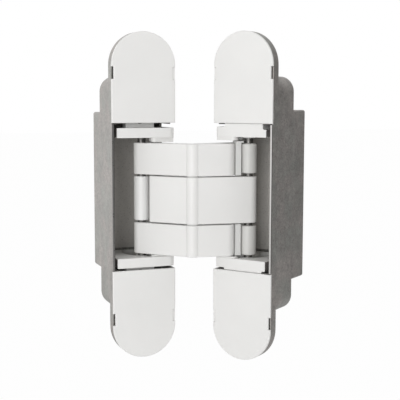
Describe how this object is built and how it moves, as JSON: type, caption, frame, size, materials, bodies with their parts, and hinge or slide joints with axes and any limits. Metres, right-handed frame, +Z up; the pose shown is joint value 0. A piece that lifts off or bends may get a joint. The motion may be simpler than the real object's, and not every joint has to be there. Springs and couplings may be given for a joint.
{
  "type": "concealed door hinge",
  "caption": "Concealed door hinge: two round-ended mortised leaves joined by crossed folding arms, with clip-on covers and adjustable carriers in die-cast housings.",
  "frame": {"origin": "middle of the frame leaf's screw holes, on the flange's seat against the door frame", "axes": "+Z up along the pivots, +Y from the seat into the door frame, +X across the frame leaf towards its inner edge and the knuckle"},
  "size_m": [0.0706, 0.0511, 0.117],
  "materials": {
    "raw_zinc": "raw die-cast zinc, matte and mottled",
    "white_satin": "white satin powder coat",
    "white_sleeve": "white satin plastic",
    "white_plastic": "white low-friction plastic",
    "steel": "ground and zinc-plated steel"
  },
  "bodies": {
    "frame_leaf": {"frame_housing": "raw_zinc", "frame_upper_cover": "white_satin", "frame_lower_cover": "white_satin", "frame_upper_carrier": "white_satin", "frame_lower_carrier": "white_satin", "frame_clamp_screws": "steel", "frame_depth_screws": "steel", "frame_pivot_pin": "steel"},
    "middle_link": {"middle_arm": "white_satin", "middle_pivot_bush": "white_plastic", "knuckle_bush": "white_plastic", "door_sliding_pin": "steel", "door_upper_sleeve": "white_sleeve", "door_lower_sleeve": "white_sleeve", "door_rollers": "white_plastic"},
    "outer_link": {"upper_outer_arm": "white_satin", "lower_outer_arm": "white_satin", "upper_pivot_bush": "white_plastic", "lower_pivot_bush": "white_plastic", "upper_bearing_strip": "white_plastic", "lower_bearing_strip": "white_plastic", "knuckle_pin": "steel", "knuckle_washers": "white_plastic", "frame_sliding_pin": "steel", "frame_sleeve": "white_sleeve", "frame_rollers": "white_plastic"},
    "door_leaf": {"door_housing": "raw_zinc", "door_upper_cover": "white_satin", "door_lower_cover": "white_satin", "door_upper_carrier": "white_satin", "door_lower_carrier": "white_satin", "door_clamp_screws": "steel", "door_depth_screws": "steel", "door_pivot_pin": "steel"}
  },
  "joints": [
    {"name": "frame_pivot", "type": "hinge", "parent": "frame_leaf", "child": "middle_link", "pos_m": [0.00795, 0.0074, 0], "axis": [0, 0, 1], "range_deg": [-66.84, 27.89]},
    {"name": "knuckle", "type": "hinge", "parent": "middle_link", "child": "outer_link", "pos_m": [0.0155, -0.0123, 0], "axis": [0, 0, 1], "range_deg": [-2.81, 6.7]},
    {"name": "door_pivot", "type": "hinge", "parent": "outer_link", "child": "door_leaf", "pos_m": [0.03578, -0.00647, 0], "axis": [0, 0, 1], "range_deg": [-66.84, 27.89]}
  ],
  "couplings": [
    {"joint": "knuckle", "follows": "frame_pivot", "ratio": -0.1},
    {"joint": "door_pivot", "follows": "frame_pivot", "ratio": 1}
  ]
}
